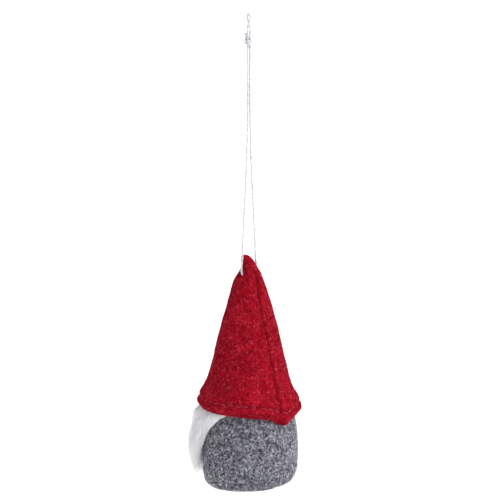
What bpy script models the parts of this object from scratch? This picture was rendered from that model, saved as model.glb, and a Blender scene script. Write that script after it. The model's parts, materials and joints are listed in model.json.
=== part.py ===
"""Hanging felt gnome: a red felt hat over a grey felt body, with a fur beard, a bead nose and a cord.

The object hangs from a small eye tied in its cord. The origin is the inside top of that eye, where a hook
bears, so the whole figure is below it. +Z is up and -Y is the gnome's front. Azimuths count round +Z from the
front (-Y) towards +X. Heights on the figure are given as depths below the hat's tip, in millimetres.
"""

import math

import bmesh
import bpy
from mathutils import Vector

MM = 0.001

# Driving dimensions, in millimetres and degrees
CORD_D = 1.0
EYE_HEIGHT = 10.0
KNOT_HEIGHT = 3.8
KNOT_RADIUS = 1.9
TIP_Z = -110.3
FIGURE_HEIGHT = 109.0
FELT = 1.6
HAT_WALL = FELT * 1.04
GAP = 0.3
EYE_AZIMUTH = 200.0
CROSSING_DEPTH = 9.5
CROSSING_AZIMUTH = 60.0
CROSSING_BORE = CORD_D / 2 + 0.35
BEND_RADIUS = 1.5
STRAND_SPREAD = 4.3
HEM_DEPTH = 72.2
HEM_TILT = 2.4
SEAM_AZIMUTH = 150.0
SEAM_CHANNEL = 0.9
DOG_EAR_DROP = 2.3
DOG_EAR_WIDTH = 13.0
FILLING_SPLIT = 60.0
BODY_TOP = 65.0
BASE_RADIUS = 13.7
BASE_OPENING = 15.0
BEARD_BACKING = 0.9
BEARD_PILE = 4.2
PILE_LIFT = 1.9
BEARD_HALF_ANGLE = 78.0
BODY_SEAM_AZIMUTH = 180.0
NOSE_RADIUS = 4.0
NOSE_FROM_AXIS = 22.1
NOSE_BELOW_HEM = 1.1
DENT = 4.4
DENT_WIDTH = 6.0
DENT_HEIGHT = 6.5
DENT_BELOW_NOSE = 0.8
BACKING_SHORT_FRONT = 16.5
BACKING_SHORT_SIDE = 1.5
BACKING_TUCK = 2.6
HEM_STITCH_DEPTH = 67.6
HEM_THREAD_D = 0.6
SEAM_THREAD_D = 0.5

# Depth below the tip and half-width of the hat: across the crossing, and along it, where the tip is flat
HAT_ACROSS = [
    (0.4, 1.7), (2.0, 3.1), (5.0, 4.6), (9.5, 7.0), (12.5, 7.6), (17.5, 8.5), (34.5, 13.3), (57.0, 19.3),
    (64.5, 22.7), (68.0, 23.5), (71.0, 22.9),
]
HAT_ALONG = [
    (0.4, 1.5), (2.0, 2.6), (5.0, 3.1), (9.5, 3.4), (12.5, 6.0), (17.5, 8.3), (34.5, 13.3), (57.0, 19.3),
    (64.5, 22.7), (68.0, 23.5), (71.0, 22.9),
]
# Distance along the crossing and radius of the flared mouths of its hole
CROSSING_FLARE = [(3.4, 1.3), (4.2, 2.0), (5.6, 2.6)]
# Depth and radius of the body sack's outside
BODY_OUTSIDE = [
    (65.0, 18.7), (72.0, 19.6), (76.0, 20.6), (80.0, 21.5), (87.0, 21.9), (97.0, 21.8), (103.0, 21.2),
    (106.3, 19.8), (108.3, 17.6),
]
# Height above the base and radius of the sack's lower edge, rolled in round the base
ROLLED_EDGE = [(0.4, 17.0), (0.0, 15.9), (0.2, BASE_OPENING), (FELT, BASE_OPENING)]
# Angle from the front and depth of the beard's lower edge
BEARD_EDGE = [
    (0.0, 106.5), (30.0, 104.5), (37.0, 95.5), (46.0, 86.5), (60.0, 79.0), (70.0, 75.8), (78.0, 74.4),
]
# Height and half distance between the two strands from the knot down to the crossing
STRAND_ROUTE = [
    (-14.2, 0.67), (-43.0, 0.7), (-61.0, 1.1), (-78.0, 2.0), (-89.0, 2.7), (-100.0, 3.4), (-111.0, 4.0),
]
# Half of the eye's centreline, from the knot towards the bight: along, across and height
EYE_SIDE = [
    (0.55, 0.35, -EYE_HEIGHT + GAP), (0.6, 0.5, -8.0), (0.6, 1.5, -6.0), (0.25, 2.25, -4.2),
    (-0.45, 2.3, -2.4), (-0.6, 1.65, -0.7), (-0.35, 0.75, CORD_D / 2 - 0.15),
]


# Curves and helpers

def smooth_value(stations, x):
    """Value at x of a smooth curve through the (x, value) stations."""
    if x <= stations[0][0]:
        return stations[0][1]
    if x >= stations[-1][0]:
        return stations[-1][1]
    i = max(k for k in range(len(stations) - 1) if stations[k][0] <= x)
    x0, y0 = stations[i]
    x1, y1 = stations[i + 1]

    def slope(k):
        low, high = max(k - 1, 0), min(k + 1, len(stations) - 1)
        return (stations[high][1] - stations[low][1]) / (stations[high][0] - stations[low][0])

    span = x1 - x0
    t = (x - x0) / span
    a, b = slope(i) * span, slope(i + 1) * span
    return (
        y0 * (2 * t**3 - 3 * t**2 + 1)
        + a * (t**3 - 2 * t**2 + t)
        + y1 * (3 * t**2 - 2 * t**3)
        + b * (t**3 - t**2)
    )


def smoothstep(low, high, x):
    t = min(max((x - low) / (high - low), 0.0), 1.0)
    return t * t * (3 - 2 * t)


def direction(azimuth):
    a = math.radians(azimuth)
    return Vector((math.sin(a), -math.cos(a), 0.0))


def bump(azimuth, centre, width):
    """1 at the centre azimuth, falling to 0 some widths away."""
    away = (azimuth - centre + 180.0) % 360.0 - 180.0
    return math.exp(-((away / width) ** 2))


def at(azimuth, radius, depth):
    """Point at a radius and a depth below the hat's tip, in millimetres."""
    return direction(azimuth) * radius + Vector((0, 0, TIP_Z - depth))


def steps(low, high, count):
    return [low + (high - low) * i / count for i in range(count + 1)]


# Making objects

def material(name, colour, roughness):
    made = bpy.data.materials.new(name)
    made.use_nodes = True
    shader = made.node_tree.nodes["Principled BSDF"]
    shader.inputs["Base Color"].default_value = (*colour, 1.0)
    shader.inputs["Roughness"].default_value = roughness
    shader.inputs["Metallic"].default_value = 0.0
    return made


def finish_mesh(name, bm, surface, parent):
    bmesh.ops.recalc_face_normals(bm, faces=bm.faces)
    mesh = bpy.data.meshes.new(name)
    bm.to_mesh(mesh)
    bm.free()
    mesh.shade_smooth()
    mesh.set_sharp_from_angle(angle=math.radians(50))
    mesh.materials.append(surface)
    made = bpy.data.objects.new(name, mesh)
    bpy.context.scene.collection.objects.link(made)
    made.parent = parent
    made.matrix_parent_inverse = parent.matrix_world.inverted()
    return made


def skin(name, rings, surface, parent, loop=False):
    """Closed skin over rings of points. A ring of one point is a pole; loop joins the last to the first."""
    bm = bmesh.new()
    made = [[bm.verts.new(p * MM) for p in ring] for ring in rings]
    pairs = list(zip(made, made[1:]))
    if loop:
        pairs.append((made[-1], made[0]))
    for upper, lower in pairs:
        count = max(len(upper), len(lower))
        for i in range(count):
            j = (i + 1) % count
            corners = [upper[i % len(upper)], upper[j % len(upper)]]
            corners += [lower[j % len(lower)], lower[i % len(lower)]]
            bm.faces.new(list(dict.fromkeys(corners)))
    return finish_mesh(name, bm, surface, parent)


def slab(name, inner, outer, surface, parent):
    """Closed sheet between two grids of points of the same size."""
    bm = bmesh.new()
    back = [[bm.verts.new(p * MM) for p in row] for row in inner]
    front = [[bm.verts.new(p * MM) for p in row] for row in outer]
    rows, columns = len(back), len(back[0])
    for i in range(rows - 1):
        for j in range(columns - 1):
            for grid in (back, front):
                bm.faces.new((grid[i][j], grid[i + 1][j], grid[i + 1][j + 1], grid[i][j + 1]))
    for j in range(columns - 1):
        for i in (0, rows - 1):
            bm.faces.new((back[i][j], back[i][j + 1], front[i][j + 1], front[i][j]))
    for i in range(rows - 1):
        for j in (0, columns - 1):
            bm.faces.new((back[i][j], back[i + 1][j], front[i + 1][j], front[i][j]))
    return finish_mesh(name, bm, surface, parent)


def thread(name, points, diameter, surface, parent, closed=False):
    """Round cord or sewing thread along the points."""
    curve = bpy.data.curves.new(name, "CURVE")
    curve.dimensions = "3D"
    curve.bevel_depth = diameter / 2 * MM
    curve.bevel_resolution = 2 if diameter >= CORD_D else 1
    curve.use_fill_caps = not closed
    spline = curve.splines.new("POLY")
    spline.points.add(len(points) - 1)
    for slot, point in zip(spline.points, points):
        slot.co = (*(point * MM), 1.0)
    spline.use_cyclic_u = closed
    curve.materials.append(surface)
    made = bpy.data.objects.new(name, curve)
    bpy.context.scene.collection.objects.link(made)
    made.parent = parent
    made.matrix_parent_inverse = parent.matrix_world.inverted()
    return made


def cut(target, cutter):
    cutter.hide_render = True
    cutter.display_type = "WIRE"
    modifier = target.modifiers.new("cut", "BOOLEAN")
    modifier.operation = "DIFFERENCE"
    modifier.object = cutter


# Hat

SEGMENTS = 48
ALONG = direction(CROSSING_AZIMUTH)
ACROSS = direction(CROSSING_AZIMUTH + 90.0)


def hem_shift(azimuth, depth):
    """The hem hangs lower at the back, and lowest at the dog-ear where the seam meets it."""
    lean = -HEM_TILT * math.cos(math.radians(azimuth)) * smoothstep(45.0, 66.0, depth)
    ear = DOG_EAR_DROP * bump(azimuth, SEAM_AZIMUTH, DOG_EAR_WIDTH) * smoothstep(62.0, 72.0, depth)
    return lean + ear


def hat_ring(depth, inset=0.0, channel=0.0):
    """Ring of the hat at a depth, moved in by an inset, with a channel along the seam for its thread."""
    ring = []
    for i in range(SEGMENTS):
        turn = 360.0 * i / SEGMENTS
        azimuth = (CROSSING_AZIMUTH + turn) % 360.0
        inward = inset + channel * bump(azimuth, SEAM_AZIMUTH, 8.0)
        along = smooth_value(HAT_ALONG, depth) - inward
        across = smooth_value(HAT_ACROSS, depth) - inward
        t = math.radians(turn)
        flat = ALONG * along * math.cos(t) + ACROSS * across * math.sin(t)
        ring.append(flat + Vector((0, 0, TIP_Z - depth - hem_shift(azimuth, depth))))
    return ring


def beard_room(azimuth):
    """1 where the beard is tucked under the hem, 0 at the back."""
    away = abs((azimuth + 180.0) % 360.0 - 180.0)
    return 1.0 - smoothstep(BEARD_HALF_ANGLE + 4.0, BEARD_HALF_ANGLE + 18.0, away)


def hem_ring(depth, clearance):
    """Ring of the hem's inside, round the body and the beard's tucked edge."""
    ring = []
    for i in range(SEGMENTS):
        azimuth = (CROSSING_AZIMUTH + 360.0 * i / SEGMENTS) % 360.0
        lowered = depth + hem_shift(azimuth, depth)
        radius = smooth_value(BODY_OUTSIDE, lowered) + clearance
        radius += (BEARD_BACKING + GAP) * beard_room(azimuth)
        ring.append(at(azimuth, radius, lowered))
    return ring


def make_hat(felt, parent):
    outside_depths = [0.4, 1.1, 2.0, 3.4, 5.0, 7.2, 8.6, 9.5, 10.5, 12.5, 15.0, 17.5]
    outside_depths += steps(23.0, 57.0, 5) + [60.0, 62.5, 64.5, 66.5, 68.5, 70.2, 71.4]
    rings = [[Vector((0, 0, TIP_Z))]]
    rings += [hat_ring(d) for d in outside_depths]
    rings.append(hat_ring(HEM_DEPTH, inset=0.9))
    rings.append(hem_ring(HEM_DEPTH - 0.4, 0.7))
    rings += [hem_ring(d, 1.5 * GAP) for d in (70.5, 68.5, 66.5, 64.5)]
    rings += [hat_ring(d, inset=HAT_WALL) for d in (60.5, 57.0, 48.0, 36.0, 24.0, 18.0)]
    rings.append([Vector((0, 0, TIP_Z - 15.5))])
    return skin("hat_felt", rings, felt, parent)


def make_crossing_cutter(felt, parent):
    """Hole through the tip on the crossing's axis, flared at both mouths so that the cord can swing."""
    centre = Vector((0, 0, TIP_Z - CROSSING_DEPTH))
    flare = [(0.0, CROSSING_BORE), (STRAND_SPREAD - BEND_RADIUS - 0.2, CROSSING_BORE)] + CROSSING_FLARE
    profile = [(-u, r) for u, r in reversed(flare[1:])] + flare
    rings = [[centre + ALONG * profile[0][0]]]
    for u, radius in profile:
        ring = []
        for i in range(16):
            t = 2 * math.pi * i / 16
            ring.append(centre + ALONG * u + (ACROSS * math.cos(t) + Vector((0, 0, math.sin(t)))) * radius)
        rings.append(ring)
    rings.append([centre + ALONG * profile[-1][0]])
    return skin("crossing_cutter", rings, felt, parent)


def make_hat_filling(fibre, parent):
    inset = HAT_WALL + GAP
    bottom = FILLING_SPLIT - 2.2
    rings = [[Vector((0, 0, TIP_Z - 17.4))]]
    rings.append(hat_ring(18.8, inset=inset + 1.5))
    rings += [hat_ring(d, inset=inset, channel=SEAM_CHANNEL) for d in (21.0, 29.0, 38.0, 48.0, 56.0)]
    rings.append(hat_ring(bottom, inset=inset, channel=SEAM_CHANNEL))
    rings.append(hat_ring(bottom, inset=inset + 4.0))
    rings.append([Vector((0, 0, TIP_Z - bottom))])
    return skin("hat_filling", rings, fibre, parent)


def make_hat_seam_thread(cotton, parent):
    points = []
    for depth in steps(23.0, 55.0, 16):
        radius = smooth_value(HAT_ACROSS, depth) - HAT_WALL - GAP - SEAM_THREAD_D / 2
        points.append(at(SEAM_AZIMUTH, radius, depth + hem_shift(SEAM_AZIMUTH, depth)))
    return thread("hat_seam_thread", points, SEAM_THREAD_D, cotton, parent)


def make_hem_stitching(cotton, parent):
    points = []
    radius = smooth_value(HAT_ACROSS, HEM_STITCH_DEPTH) + GAP + HEM_THREAD_D / 2
    for azimuth in range(0, 360, 5):
        points.append(at(azimuth, radius, HEM_STITCH_DEPTH + hem_shift(azimuth, HEM_STITCH_DEPTH)))
    return thread("hat_hem_stitching", points, HEM_THREAD_D, cotton, parent, closed=True)


# Body

def front_dent(azimuth, depth):
    """The bead nose presses a hollow into the soft body at the front."""
    away = (azimuth + 180.0) % 360.0 - 180.0
    sideways = math.radians(away) * 20.0
    below = depth - nose_depth() - DENT_BELOW_NOSE
    return DENT * math.exp(-((sideways / DENT_WIDTH) ** 2) - (below / DENT_HEIGHT) ** 2)


def nose_depth():
    return HEM_DEPTH - HEM_TILT + NOSE_BELOW_HEM + NOSE_RADIUS


def body_point(azimuth, radius, depth):
    return at(azimuth, radius - front_dent(azimuth, depth), depth)


def body_ring(depth, inset=0.0, segments=SEGMENTS, channel=0.0):
    ring = []
    for i in range(segments):
        azimuth = 360.0 * i / segments
        inward = inset + channel * bump(azimuth, BODY_SEAM_AZIMUTH, 5.0)
        ring.append(body_point(azimuth, smooth_value(BODY_OUTSIDE, depth) - inward, depth))
    return ring


def flat_ring(radius, depth, segments=SEGMENTS):
    return [at(360.0 * i / segments, radius, depth) for i in range(segments)]


def make_body(felt, parent):
    rings = [body_ring(d) for d in (BODY_TOP, 69.0, 72.0, 75.0, 78.5, 84.0, 91.0, 98.0)]
    rings += [body_ring(FIGURE_HEIGHT - up) for up in (5.5, 3.0, 1.4)]
    rings += [flat_ring(radius, FIGURE_HEIGHT - up) for up, radius in ROLLED_EDGE]
    rings += [body_ring(FIGURE_HEIGHT - up, inset=FELT) for up in (3.6, 6.0)]
    rings += [body_ring(d, inset=FELT) for d in (97.0, 90.0, 83.0, 77.5, 74.0, 70.0, BODY_TOP)]
    return skin("body_felt", rings, felt, parent, loop=True)


def make_body_filling(fibre, parent):
    inset = FELT + 2.5 * GAP
    rings = [[Vector((0, 0, TIP_Z - FILLING_SPLIT - GAP))]]
    rings.append(flat_ring(9.0, FILLING_SPLIT + 2 * GAP, 32))
    rings.append(flat_ring(14.5, FILLING_SPLIT + 1.2, 32))
    rings.append(body_ring(BODY_TOP - 1.5, inset=inset + 0.6, segments=32))
    for d in (67.0, 70.5, 74.0, 77.5, 83.0, 91.0, 98.0, 102.0):
        rings.append(body_ring(d, inset=inset, segments=32, channel=SEAM_CHANNEL))
    rings.append(flat_ring(14.2, FIGURE_HEIGHT - FELT - GAP - 0.8, 32))
    rings.append(flat_ring(12.5, FIGURE_HEIGHT - FELT - GAP, 32))
    rings.append([Vector((0, 0, TIP_Z - FIGURE_HEIGHT + FELT + GAP))])
    return skin("body_filling", rings, fibre, parent)


def make_body_seam_thread(cotton, parent):
    points = []
    for depth in steps(68.0, 100.0, 12):
        radius = smooth_value(BODY_OUTSIDE, depth) - FELT - GAP - SEAM_THREAD_D / 2
        points.append(at(BODY_SEAM_AZIMUTH, radius, depth))
    return thread("body_seam_thread", points, SEAM_THREAD_D, cotton, parent)


def make_base(felt, parent):
    rings = [
        [Vector((0, 0, TIP_Z - FIGURE_HEIGHT + FELT))],
        flat_ring(BASE_RADIUS - 0.2, FIGURE_HEIGHT - FELT),
        flat_ring(BASE_RADIUS, FIGURE_HEIGHT - FELT + 0.2),
        flat_ring(BASE_RADIUS, FIGURE_HEIGHT - 0.3),
        flat_ring(BASE_RADIUS - 0.3, FIGURE_HEIGHT),
        [Vector((0, 0, TIP_Z - FIGURE_HEIGHT))],
    ]
    return skin("base_felt", rings, felt, parent)


def make_base_seam_thread(cotton, parent):
    radius = (BASE_RADIUS + BASE_OPENING) / 2
    points = flat_ring(radius, FIGURE_HEIGHT - FELT / 2)
    return thread("base_seam_thread", points, SEAM_THREAD_D, cotton, parent, closed=True)


# Beard and nose

def beard_bottom(azimuth):
    return smooth_value(BEARD_EDGE, abs(azimuth))


def hem_bottom(azimuth):
    return HEM_DEPTH + hem_shift(azimuth % 360.0, HEM_DEPTH)


def beard_grid(top, bottom, out):
    """Rows of points over the beard's outline, each moved out from the body by out(azimuth, share)."""
    rows = []
    for share in steps(0.0, 1.0, 10):
        row = []
        for azimuth in steps(-BEARD_HALF_ANGLE, BEARD_HALF_ANGLE, 22):
            low, high = top(azimuth), bottom(azimuth)
            depth = low + (high - low) * share
            radius = smooth_value(BODY_OUTSIDE, depth) + out(azimuth, share)
            row.append(body_point(azimuth, radius, depth))
        rows.append(row)
    return rows


def make_beard_backing(cloth, parent):
    def top(azimuth):
        return hem_bottom(azimuth) - BACKING_TUCK

    def bottom(azimuth):
        side = smoothstep(20.0, 60.0, abs(azimuth))
        return beard_bottom(azimuth) - BACKING_SHORT_FRONT * (1.0 - side) - BACKING_SHORT_SIDE * side

    inner = beard_grid(top, bottom, lambda azimuth, share: GAP)
    outer = beard_grid(top, bottom, lambda azimuth, share: GAP + BEARD_BACKING)
    return slab("beard_backing", inner, outer, cloth, parent)


def make_beard_pile(fur, parent):
    def top(azimuth):
        under_nose = (2 * NOSE_RADIUS + 2 * NOSE_BELOW_HEM) * bump(azimuth, 0.0, 12.0)
        return hem_bottom(azimuth) + 0.4 + under_nose

    def thickness(azimuth, share):
        sides = 1.0 - 0.55 * smoothstep(50.0, BEARD_HALF_ANGLE, abs(azimuth))
        ends = 1.0 - 0.65 * smoothstep(0.8, 1.0, share)
        return PILE_LIFT + BEARD_PILE * sides * ends

    inner = beard_grid(top, beard_bottom, lambda azimuth, share: PILE_LIFT)
    outer = beard_grid(top, beard_bottom, thickness)
    return slab("beard_pile", inner, outer, fur, parent)


def ball(name, centre, radius, tall, surface, parent, around=24, rows=12, raised=0.0):
    """Ball, or an upright egg when tall is not the radius, with its upper half raised."""
    rings = [[centre + Vector((0, 0, tall + raised))]]
    for i in range(1, rows):
        t = math.pi * i / rows
        lift = raised if 2 * i <= rows else 0.0
        ring = []
        for j in range(around):
            side = direction(360.0 * j / around) * radius * math.sin(t)
            ring.append(centre + side + Vector((0, 0, tall * math.cos(t) + lift)))
        rings.append(ring)
    rings.append([centre - Vector((0, 0, tall))])
    return skin(name, rings, surface, parent)


# Cord

def eye_route():
    """Centreline of the eye: up from the knot, round the bight and down, the two sides crossing once."""
    return EYE_SIDE + [(0.0, 0.0, CORD_D / 2)] + [(-s, -w, z) for s, w, z in reversed(EYE_SIDE)]


def strand_route():
    """Centreline of the strands: down one side, through the hat's tip and up the other side."""
    crossing = TIP_Z - CROSSING_DEPTH
    side = list(STRAND_ROUTE)
    side.append((crossing + BEND_RADIUS, STRAND_SPREAD))
    for turn in (22.5, 45.0, 67.5):
        t = math.radians(turn)
        across = STRAND_SPREAD - BEND_RADIUS * (1 - math.cos(t))
        side.append((crossing + BEND_RADIUS * (1 - math.sin(t)), across))
    side.append((crossing, STRAND_SPREAD - BEND_RADIUS))
    down = [(u, 0.0, z) for z, u in side]
    return down + [(0.0, 0.0, crossing)] + [(-u, v, z) for u, v, z in reversed(down)]


def smooth_route(route, step, fine, is_fine):
    """Points along a smooth curve through the route, at a coarse or a fine step."""
    dense = []
    ends = [route[0]] + list(route) + [route[-1]]
    for p0, p1, p2, p3 in zip(ends, ends[1:], ends[2:], ends[3:]):
        a, b, c, d = Vector(p0), Vector(p1), Vector(p2), Vector(p3)
        before = max((b - a).length, 1e-6)
        here = (c - b).length
        after = max((d - c).length, 1e-6)
        out_of = ((b - a) / before * here + (c - b) * before / here) / (before + here) * here
        into = ((c - b) / here * after + (d - c) * here / after) / (here + after) * here
        for k in range(40):
            t = k / 40
            dense.append(
                b * (2 * t**3 - 3 * t**2 + 1) + out_of * (t**3 - 2 * t**2 + t)
                + c * (3 * t**2 - 2 * t**3) + into * (t**3 - t**2)
            )
    dense.append(Vector(route[-1]))
    picked, run = [dense[0]], 0.0
    for before, after in zip(dense, dense[1:]):
        run += (after - before).length
        if run >= (fine if is_fine(after) else step):
            picked.append(after)
            run = 0.0
    if (picked[-1] - dense[-1]).length < fine / 2:
        picked.pop()
    picked.append(dense[-1])
    return picked


def turned(points, azimuth):
    """Points given as (along, across, height), turned so that along is at the azimuth."""
    along, across = direction(azimuth), direction(azimuth + 90.0)
    return [along * p.x + across * p.y + Vector((0, 0, p.z)) for p in points]


def make_cord(cotton, hanger, strands):
    eye = smooth_route(eye_route(), 1.2, 1.2, lambda p: True)
    thread("cord_eye", turned(eye, EYE_AZIMUTH), CORD_D, cotton, hanger)
    knot = Vector((0, 0, -EYE_HEIGHT - KNOT_HEIGHT / 2))
    ball("cord_knot", knot, KNOT_RADIUS, KNOT_HEIGHT / 2, cotton, hanger, around=16, rows=10)
    crossing = TIP_Z - CROSSING_DEPTH
    legs = smooth_route(strand_route(), 3.0, 0.75, lambda p: p.z < crossing + BEND_RADIUS + 0.8)
    thread("cord_strands", turned(legs, CROSSING_AZIMUTH), CORD_D, cotton, strands)


# Assembly

def pivot(name, depth_point):
    made = bpy.data.objects.new(name, None)
    bpy.context.scene.collection.objects.link(made)
    made.location = depth_point * MM
    bpy.context.view_layer.update()
    return made


def build():
    for old in list(bpy.data.objects):
        bpy.data.objects.remove(old, do_unlink=True)

    red = material("red_felt", (0.42, 0.012, 0.025), 0.95)
    grey = material("grey_heather_felt", (0.16, 0.16, 0.19), 0.95)
    white_fur = material("white_fur", (0.82, 0.81, 0.80), 0.8)
    knit = material("beard_backing_cloth", (0.75, 0.74, 0.72), 0.9)
    fibre = material("fibre_filling", (0.85, 0.85, 0.83), 1.0)
    wood = material("bead_wood", (0.68, 0.46, 0.27), 0.5)
    white_cotton = material("white_cord", (0.84, 0.83, 0.81), 0.8)
    red_cotton = material("red_thread", (0.35, 0.01, 0.02), 0.8)
    grey_cotton = material("grey_thread", (0.12, 0.12, 0.14), 0.8)

    hanger = pivot("hanger", Vector((0, 0, 0)))
    strands = pivot("strands_pivot", Vector((0, 0, -EYE_HEIGHT - KNOT_HEIGHT)))
    figure = pivot("figure_pivot", Vector((0, 0, TIP_Z - CROSSING_DEPTH)))

    make_cord(white_cotton, hanger, strands)
    hat = make_hat(red, figure)
    cut(hat, make_crossing_cutter(red, figure))
    make_hat_filling(fibre, figure)
    make_hat_seam_thread(red_cotton, figure)
    make_hem_stitching(red_cotton, figure)

    make_body(grey, figure)
    make_body_filling(fibre, figure)
    make_body_seam_thread(grey_cotton, figure)
    make_base(grey, figure)
    make_base_seam_thread(grey_cotton, figure)

    make_beard_backing(knit, figure)
    pile = make_beard_pile(white_fur, figure)
    nose = at(0.0, NOSE_FROM_AXIS, nose_depth())
    ball("nose_bead", nose, NOSE_RADIUS, NOSE_RADIUS, wood, figure)
    around = NOSE_RADIUS + 2 * GAP
    cut(pile, ball("nose_cutter", nose, around, around, white_fur, figure, raised=8.0))


build()
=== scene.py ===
"""Looks of the hanging felt gnome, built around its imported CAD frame.

Lengths are in millimetres inside this script and become metres when a mesh is made. Azimuths count
round +Z from the gnome's front (-Y) towards +X. Depths are measured down from the hat's tip.
"""

import json
import math

import bpy
import numpy as np
from mathutils import Matrix, Vector
from mathutils.bvhtree import BVHTree
from mathutils.kdtree import KDTree


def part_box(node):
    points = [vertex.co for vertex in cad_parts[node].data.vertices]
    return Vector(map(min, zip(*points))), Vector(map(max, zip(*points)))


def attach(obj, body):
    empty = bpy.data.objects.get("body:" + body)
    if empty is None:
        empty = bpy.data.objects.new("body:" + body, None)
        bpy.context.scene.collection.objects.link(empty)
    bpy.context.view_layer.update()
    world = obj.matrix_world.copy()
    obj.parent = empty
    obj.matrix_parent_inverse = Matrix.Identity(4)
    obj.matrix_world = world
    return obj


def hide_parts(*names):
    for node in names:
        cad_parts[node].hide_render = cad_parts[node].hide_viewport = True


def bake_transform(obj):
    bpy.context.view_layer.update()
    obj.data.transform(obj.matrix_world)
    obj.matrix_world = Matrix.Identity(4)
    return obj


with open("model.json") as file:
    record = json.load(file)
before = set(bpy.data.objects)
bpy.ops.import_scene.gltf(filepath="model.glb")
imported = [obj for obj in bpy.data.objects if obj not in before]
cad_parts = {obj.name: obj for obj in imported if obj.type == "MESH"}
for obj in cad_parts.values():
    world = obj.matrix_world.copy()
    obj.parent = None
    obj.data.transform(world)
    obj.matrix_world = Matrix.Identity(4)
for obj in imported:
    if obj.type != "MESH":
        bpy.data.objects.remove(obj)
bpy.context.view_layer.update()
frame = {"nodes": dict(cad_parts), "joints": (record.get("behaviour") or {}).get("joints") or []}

MM = 0.001

# Places taken from the frame
TIP_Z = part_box("hat_felt")[1].z / MM
BASE_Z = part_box("body_felt")[0].z / MM
KNOT_LOW, KNOT_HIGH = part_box("cord_knot")
KNOT_TOP_Z = KNOT_HIGH.z / MM
KNOT_BOTTOM_Z = KNOT_LOW.z / MM
SWING = next(j for j in frame["joints"] if j["name"] == "figure_swing")
CROSSING_Z = SWING["pos_m"][2] / MM
CROSSING_AZIMUTH = math.degrees(math.atan2(SWING["axis"][0], -SWING["axis"][1]))
NOSE_LOW, NOSE_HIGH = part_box("nose_bead")
NOSE_CENTRE = np.array((NOSE_LOW + NOSE_HIGH) / 2) / MM
NOSE_RADIUS = (NOSE_HIGH.z - NOSE_LOW.z) / 2 / MM

# Sizes and places of the real pieces
CORD_D = 1.0
PLY_PITCH = 7.2
BEND_RADIUS = 1.5
STRAND_SPREAD = 4.3
EYE_AZIMUTH = 200.0
KNOT_REACH = (1.3, 1.1)
HEM_DEPTH = 72.2
HEM_LIP = 1.35
HEM_THICKNESS = 2.6
SEAM_TOP_AZIMUTH = 138.0
SEAM_BOTTOM_AZIMUTH = 150.5
CORNER_AZIMUTH = 153.0
CORNER_DROP = 2.6
STITCHES = 37
STITCH_ABOVE_HEM = 4.2
STITCH_LENGTH = 2.7
STITCH_RADIUS = 0.27
BODY_TOP = 62.0
BODY_BOTTOM = 109.0
BODY_WALL_BOTTOM = 105.0
BODY_LEAN_AZIMUTH = 200.0
BODY_LEAN = 0.45
BASE_LOW_AZIMUTH = 30.0
BEAD_HOLE = 0.75
BEARD_HALF_ANGLE = 78.0
NOSE_HOLLOW = 4.3
FUR_THICKNESS = 4.6
LOCKS = 34

# Camera and studio
CAMERA_AZIMUTH = 110.0
CAMERA_ELEVATION = 8.0
CAMERA_DISTANCE = 1200.0
CAMERA_WIDTH = 231.0
CAMERA_AIM_Z = -108.2
CAMERA_AIM_SIDE = 0.5
SENSOR = 36.0
WORLD_STRENGTH = 1.0
KEY_FROM_CAMERA = 60.0
KEY_ELEVATION = 46.0
KEY_STRENGTH = 3.3
KEY_SOFTNESS = 40.0
FLOOR_DROP = 600.0
FLOOR_SIDE = 30000.0

# Cloth is simulated at a larger scale, in which the solver is steady
CLOTH_SCALE = 50.0
CLOTH_VOXEL = 1.5
CLOTH_PRESSURE = 4.0
CLOTH_STIFFNESS = 4.0
CLOTH_FRAMES = 20
CLOTH_CAP = 0.7
CLOTH_START_IN = 0.35

# Depth and half-width of the hat: its round skirt, then all of it across the crossing and along it
HAT_SKIRT = [
    (34.5, 13.5), (57.0, 18.8), (60.0, 19.6), (63.0, 21.0), (65.5, 22.7), (68.0, 23.7), (70.3, 23.8),
    (72.2, 22.6),
]
HAT_ACROSS = [
    (0.0, 0.0), (0.25, 1.3), (0.8, 1.9), (1.5, 2.2), (3.3, 3.2), (5.6, 3.9), (7.4, 5.3), (9.5, 7.0),
    (12.5, 8.0), (17.5, 9.0),
] + HAT_SKIRT
HAT_ALONG = [
    (0.0, 0.0), (0.25, 1.3), (0.8, 1.9), (1.5, 2.3), (3.3, 3.1), (5.6, 3.6), (7.4, 4.0), (9.3, 4.7),
    (10.5, 5.6), (12.5, 6.7), (17.5, 8.7),
] + HAT_SKIRT
# Depth and how far the tip leans towards LEAN_AZIMUTH
TIP_LEAN = [(0.0, 1.9), (1.5, 1.35), (3.3, 0.55), (5.6, 0.0), (8.0, -0.3), (12.0, 0.0), (20.0, 0.0)]
LEAN_AZIMUTH = 20.0
# Azimuth and height of the hem's lower edge above its mean
HEM_WAVE = [
    (-160.0, -0.8), (-110.0, 0.4), (-60.0, 1.4), (-20.0, 2.3), (20.0, 2.2), (50.0, 1.5), (90.0, 1.0),
    (130.0, -0.2), (165.0, -1.5), (200.0, -0.8), (250.0, 0.4),
]
# Depth and radius of the body
BODY_OUTSIDE = [
    (62.0, 18.0), (65.0, 18.7), (72.0, 19.8), (76.0, 21.0), (80.0, 21.7), (87.0, 22.1), (97.0, 22.1),
    (103.0, 21.8), (105.5, 21.1), (107.5, 19.4), (108.6, 17.2), (109.0, 14.8),
]
# Depth and angle from the front of the beard's side edges
BEARD_SPAN = [
    (66.0, 83.0), (72.0, 73.5), (77.5, 59.5), (86.0, 45.5), (95.0, 38.0), (104.0, 33.0), (110.0, 29.0),
]
# Share of the beard's width, and the depths where its dense hair, longest hairs and bed end
BEARD_DENSE = [(0.0, 90.0), (0.5, 88.0), (0.8, 86.0), (1.0, 84.0)]
BEARD_LOWEST = [(0.0, 107.0), (0.4, 106.5), (0.75, 104.0), (1.0, 98.0)]
BEARD_BED = [(0.0, 87.0), (0.4, 86.5), (0.75, 84.0), (1.0, 81.0)]
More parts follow.
